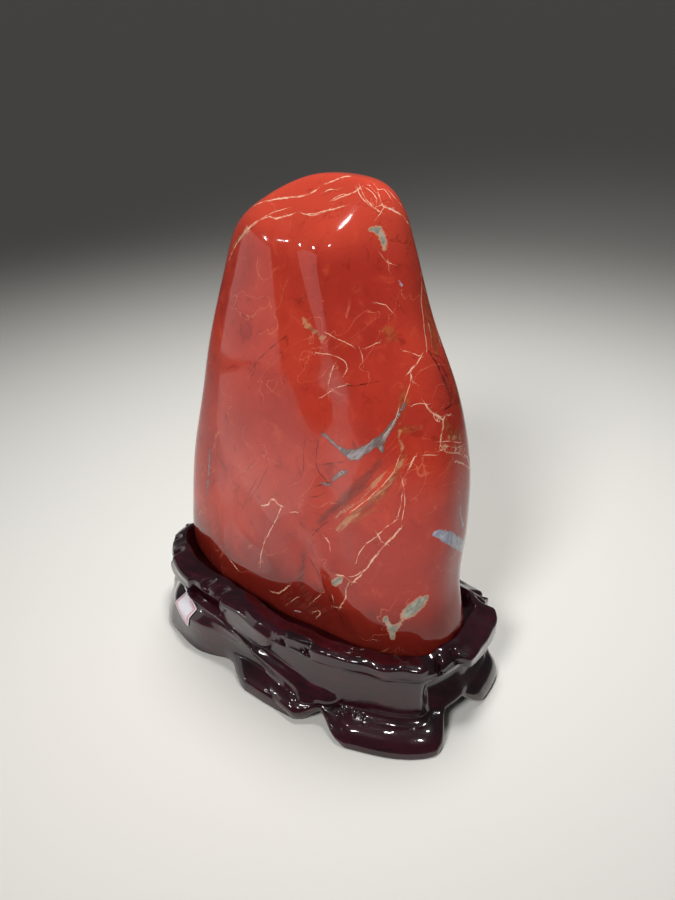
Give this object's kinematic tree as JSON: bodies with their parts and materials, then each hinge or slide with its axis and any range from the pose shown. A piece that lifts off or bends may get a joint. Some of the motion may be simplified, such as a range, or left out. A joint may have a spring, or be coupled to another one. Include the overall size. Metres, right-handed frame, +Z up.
{
  "type": "polished jasper display stone on carved stand",
  "caption": "Tall polished slab of veined red jasper standing loose in the cut seat of a carved, lacquered hardwood stand with a scalloped rim, a sweeping fold and arched feet.",
  "frame": {"origin": "middle of the outline seen from above, on the table under the stand", "axes": "+Z up, +X along the stand towards the stone's thick end, -Y the way the broad front of the stone looks"},
  "size_m": [0.2782, 0.1626, 0.3504],
  "materials": {
    "polished_red_jasper": "polished, veined in cream, tan and blue-grey",
    "lacquered_hardwood": "dark purple-red gloss lacquer",
    "label_paper": "matt paper with a red border"
  },
  "bodies": {
    "root": {"stone": "polished_red_jasper", "stand": "lacquered_hardwood", "price_label": "label_paper"}
  },
  "joints": []
}
